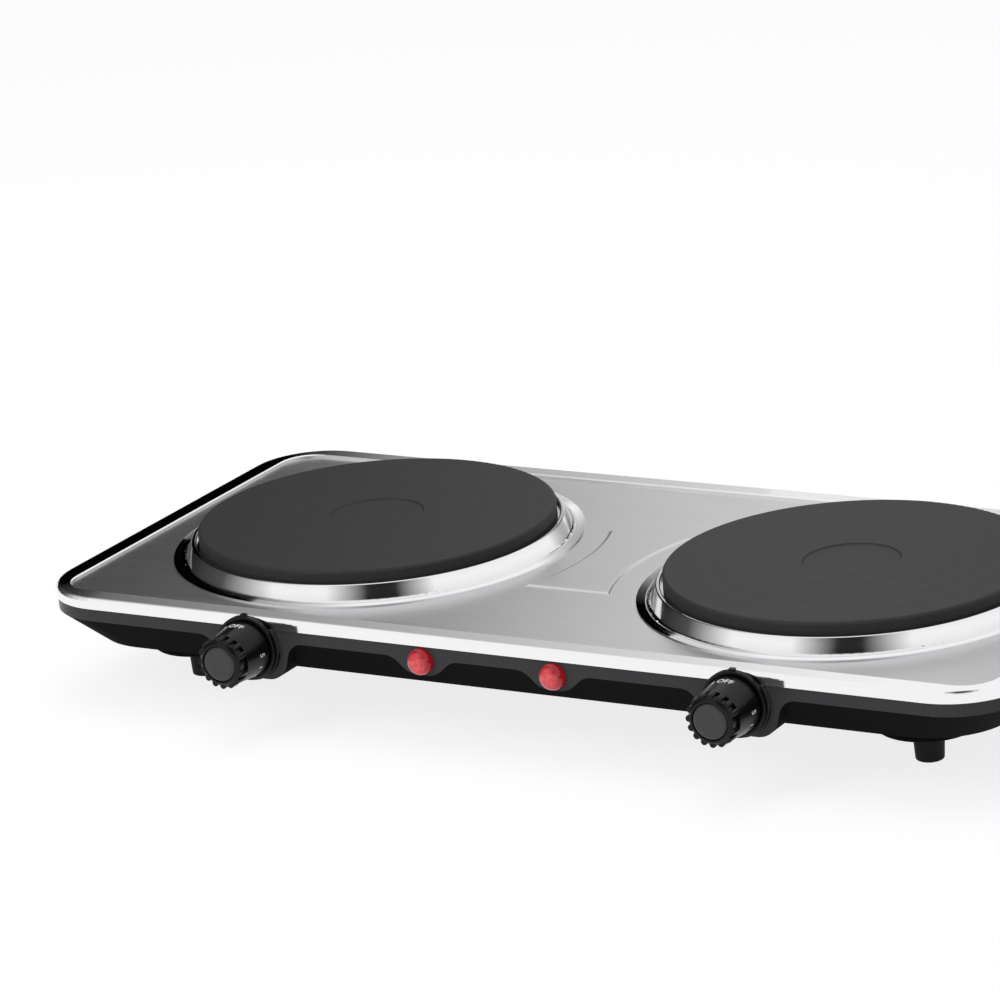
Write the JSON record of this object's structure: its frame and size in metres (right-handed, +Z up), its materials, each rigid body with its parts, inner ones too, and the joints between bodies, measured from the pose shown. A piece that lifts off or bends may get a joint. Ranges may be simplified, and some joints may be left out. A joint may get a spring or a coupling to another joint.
{
  "type": "hot plate",
  "caption": "Tabletop electric hot plate with cast burner plates in polished collars, a steel top on a black footed base, turning dial knobs and red pilot lamps.",
  "frame": {"origin": "on the floor, under the middle of the whole object", "axes": "+Z up, front with the knobs and lamps towards -Y, +X to the right seen from the front"},
  "size_m": [0.544, 0.288, 0.0713],
  "materials": {
    "cover_steel": "brushed",
    "base_black": "satin",
    "collar_chrome": "polished",
    "plate_iron": "matte",
    "element_ceramic": "matte",
    "bead_ceramic": "matte",
    "zinc_sheet": "satin",
    "zinc_steel": "satin",
    "bush_brass": "satin",
    "thermostat_phenolic": "matte",
    "control_black": "satin",
    "cap_black": "satin",
    "lens_red": "polished",
    "foot_rubber": "matte",
    "gland_black": "matte"
  },
  "bodies": {
    "chassis": {"base_tub": "base_black", "clamp_nuts": "zinc_steel", "clamp_strap_left": "zinc_sheet", "clamp_strap_right": "zinc_sheet", "clamp_stud_left": "zinc_steel", "clamp_stud_right": "zinc_steel", "cord_gland": "gland_black", "cover_screws": "zinc_steel", "dial_ring_left": "control_black", "dial_ring_right": "control_black", "element_beads_left": "bead_ceramic", "element_beads_right": "bead_ceramic", "foot_front_left": "foot_rubber", "foot_front_right": "foot_rubber", "foot_rear_left": "foot_rubber", "foot_rear_right": "foot_rubber", "foot_screws": "zinc_steel", "gland_nut": "gland_black", "heat_shield_left": "zinc_sheet", "heat_shield_right": "zinc_sheet", "heating_element_left": "element_ceramic", "heating_element_right": "element_ceramic", "hot_plate_left": "plate_iron", "hot_plate_right": "plate_iron", "lamp_clips": "zinc_steel", "lamp_holder_left": "thermostat_phenolic", "lamp_holder_right": "thermostat_phenolic", "lamp_lens_left": "lens_red", "lamp_lens_right": "lens_red", "leg_front_left": "base_black", "leg_front_right": "base_black", "leg_rear_left": "base_black", "leg_rear_right": "base_black", "terminal_block": "bead_ceramic", "thermostat_bush_left": "bush_brass", "thermostat_bush_right": "bush_brass", "thermostat_left": "thermostat_phenolic", "thermostat_nuts": "bush_brass", "thermostat_right": "thermostat_phenolic", "top_cover": "cover_steel", "trim_ring_left": "collar_chrome", "trim_ring_right": "collar_chrome", "weld_nuts": "zinc_steel"},
    "control_left": {"knob_left": "control_black", "knob_cap_left": "cap_black", "spindle_left": "zinc_steel"},
    "control_right": {"knob_right": "control_black", "knob_cap_right": "cap_black", "spindle_right": "zinc_steel"}
  },
  "joints": [
    {"name": "knob_left_turn", "type": "hinge", "parent": "chassis", "child": "control_left", "pos_m": [-0.137, -0.11845, 0.0423], "axis": [0, 1, 0], "range_deg": [0, 270]},
    {"name": "knob_right_turn", "type": "hinge", "parent": "chassis", "child": "control_right", "pos_m": [0.137, -0.11845, 0.0423], "axis": [0, 1, 0], "range_deg": [0, 270]}
  ]
}
